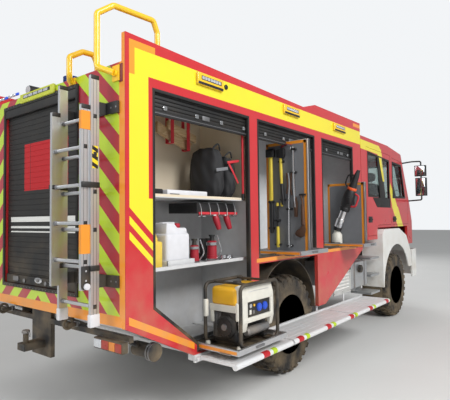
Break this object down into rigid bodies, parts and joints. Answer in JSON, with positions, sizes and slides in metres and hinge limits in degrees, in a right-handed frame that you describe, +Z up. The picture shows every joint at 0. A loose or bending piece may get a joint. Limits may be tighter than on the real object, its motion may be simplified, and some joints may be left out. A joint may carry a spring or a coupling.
{
  "type": "crew-cab fire truck",
  "caption": "Four-wheel-drive crew-cab rescue fire truck with open lockers, pull-out trays, fold-down side steps, rear ladder and roof handrails.",
  "frame": {"origin": "on the ground at the centre of the truck's overall length and width, with the side steps folded down", "axes": "+X to the vehicle's right, +Y forward, +Z up"},
  "size_m": [3.4, 7.836, 3.4987],
  "materials": {
    "red_paint": "gloss",
    "yellow_paint": "gloss",
    "white_paint": "gloss",
    "black_steel": "satin",
    "aluminium": "satin",
    "grey_panel": "satin",
    "black_shutter": "satin",
    "tank_plastic": "matte",
    "tyre": "matte",
    "rim": "satin",
    "glass": "gloss",
    "cab_trim": "matte",
    "black_plastic": "satin",
    "blue_lens": "gloss",
    "lamp_lens": "gloss",
    "mixed_goods": "matte",
    "generator_shell": "satin",
    "tool_steel": "satin",
    "rescue_tool": "satin"
  },
  "bodies": {
    "truck": {"frame_rails": "black_steel", "axles": "black_steel", "running_gear": "black_steel", "engine": "black_steel", "water_tank": "tank_plastic", "front_bumper": "white_paint", "front_mudguards": "white_paint", "rear_arches": "black_plastic", "body_side_right": "red_paint", "body_side_left": "red_paint", "body_rear_wall": "red_paint", "body_roof": "aluminium", "locker_walls": "grey_panel", "locker_shelves": "aluminium", "locker_goods": "mixed_goods", "roller_shutters": "black_shutter", "ladder": "aluminium", "ladder_brackets": "black_steel", "roof_handrails": "yellow_paint", "roof_load": "mixed_goods", "sill_rails": "aluminium", "lamps": "lamp_lens", "side_tanks": "aluminium", "tow_hitch": "black_steel"},
    "cab": {"cab_shell": "red_paint", "cab_glass": "glass", "cab_interior": "cab_trim", "mirrors": "black_plastic", "light_bar": "blue_lens"},
    "door_crew_right": {"door_crew_right": "red_paint", "door_glass_crew_right": "glass"},
    "door_front_right": {"door_front_right": "red_paint", "door_glass_front_right": "glass"},
    "door_crew_left": {"door_crew_left": "red_paint", "door_glass_crew_left": "glass"},
    "door_front_left": {"door_front_left": "red_paint", "door_glass_front_left": "glass"},
    "tray_generator": {"tray_generator": "aluminium", "generator_frame": "black_steel", "generator_set": "generator_shell"},
    "tray_tools": {"tray_tools": "aluminium", "hand_tools": "tool_steel"},
    "tray_rescue": {"tray_rescue": "aluminium", "rescue_tool": "rescue_tool"},
    "step_right_middle": {"step_right_middle": "aluminium"},
    "step_right_front": {"step_right_front": "aluminium"},
    "step_left_rear": {"step_left_rear": "aluminium"},
    "step_left_middle": {"step_left_middle": "aluminium"},
    "step_left_front": {"step_left_front": "aluminium"},
    "knuckle_right": {"knuckle_right": "black_steel"},
    "wheel_front_right": {"tyre_front_right": "tyre", "rim_front_right": "rim"},
    "wheel_rear_right": {"tyre_rear_right": "tyre", "rim_rear_right": "rim"},
    "knuckle_left": {"knuckle_left": "black_steel"},
    "wheel_front_left": {"tyre_front_left": "tyre", "rim_front_left": "rim"},
    "wheel_rear_left": {"tyre_rear_left": "tyre", "rim_rear_left": "rim"}
  },
  "joints": [
    {"name": "cab_tilt", "type": "hinge", "parent": "truck", "child": "cab", "pos_m": [0, 3.72, 1.2], "axis": [-1, 0, 0], "range_deg": [0, 50]},
    {"name": "door_crew_right_hinge", "type": "hinge", "parent": "cab", "child": "door_crew_right", "pos_m": [1.194, 2.382, 1.8], "axis": [0, 0, 1], "range_deg": [0, 70]},
    {"name": "door_front_right_hinge", "type": "hinge", "parent": "cab", "child": "door_front_right", "pos_m": [1.194, 3.377, 1.8], "axis": [0, 0, 1], "range_deg": [0, 70]},
    {"name": "door_crew_left_hinge", "type": "hinge", "parent": "cab", "child": "door_crew_left", "pos_m": [-1.194, 2.382, 1.8], "axis": [0, 0, -1], "range_deg": [0, 70]},
    {"name": "door_front_left_hinge", "type": "hinge", "parent": "cab", "child": "door_front_left", "pos_m": [-1.194, 3.377, 1.8], "axis": [0, 0, -1], "range_deg": [0, 70]},
    {"name": "tray_generator_slide", "type": "slide", "parent": "truck", "child": "tray_generator", "axis": [1, 0, 0], "range_m": [-0.49, 0]},
    {"name": "tray_tools_slide", "type": "slide", "parent": "truck", "child": "tray_tools", "axis": [1, 0, 0], "range_m": [-0.37, 0]},
    {"name": "tray_rescue_slide", "type": "slide", "parent": "truck", "child": "tray_rescue", "axis": [1, 0, 0], "range_m": [-0.41, 0]},
    {"name": "step_right_middle_fold", "type": "hinge", "parent": "truck", "child": "step_right_middle", "pos_m": [1.284, -1.28, 0.585], "axis": [0, 1, 0], "range_deg": [-90, 0]},
    {"name": "step_right_front_fold", "type": "hinge", "parent": "truck", "child": "step_right_front", "pos_m": [1.284, 0.1, 0.585], "axis": [0, 1, 0], "range_deg": [-90, 0]},
    {"name": "step_left_rear_fold", "type": "hinge", "parent": "truck", "child": "step_left_rear", "pos_m": [-1.284, -2.48, 0.585], "axis": [0, -1, 0], "range_deg": [-90, 0]},
    {"name": "step_left_middle_fold", "type": "hinge", "parent": "truck", "child": "step_left_middle", "pos_m": [-1.284, -1.28, 0.585], "axis": [0, -1, 0], "range_deg": [-90, 0]},
    {"name": "step_left_front_fold", "type": "hinge", "parent": "truck", "child": "step_left_front", "pos_m": [-1.284, 0.1, 0.585], "axis": [0, -1, 0], "range_deg": [-90, 0]},
    {"name": "steer_right", "type": "hinge", "parent": "truck", "child": "knuckle_right", "pos_m": [0.85, 2.47, 0.56], "axis": [0, 0, 1], "range_deg": [-30, 30]},
    {"name": "wheel_front_right_spin", "type": "hinge", "parent": "knuckle_right", "child": "wheel_front_right", "pos_m": [1.05, 2.47, 0.56], "axis": [1, 0, 0], "continuous": true},
    {"name": "wheel_rear_right_spin", "type": "hinge", "parent": "truck", "child": "wheel_rear_right", "pos_m": [1.05, -1.28, 0.56], "axis": [1, 0, 0], "continuous": true},
    {"name": "steer_left", "type": "hinge", "parent": "truck", "child": "knuckle_left", "pos_m": [-0.85, 2.47, 0.56], "axis": [0, 0, 1], "range_deg": [-30, 30]},
    {"name": "wheel_front_left_spin", "type": "hinge", "parent": "knuckle_left", "child": "wheel_front_left", "pos_m": [-1.05, 2.47, 0.56], "axis": [1, 0, 0], "continuous": true},
    {"name": "wheel_rear_left_spin", "type": "hinge", "parent": "truck", "child": "wheel_rear_left", "pos_m": [-1.05, -1.28, 0.56], "axis": [1, 0, 0], "continuous": true}
  ],
  "couplings": [
    {"joint": "steer_right", "follows": "steer_left", "ratio": 1}
  ]
}
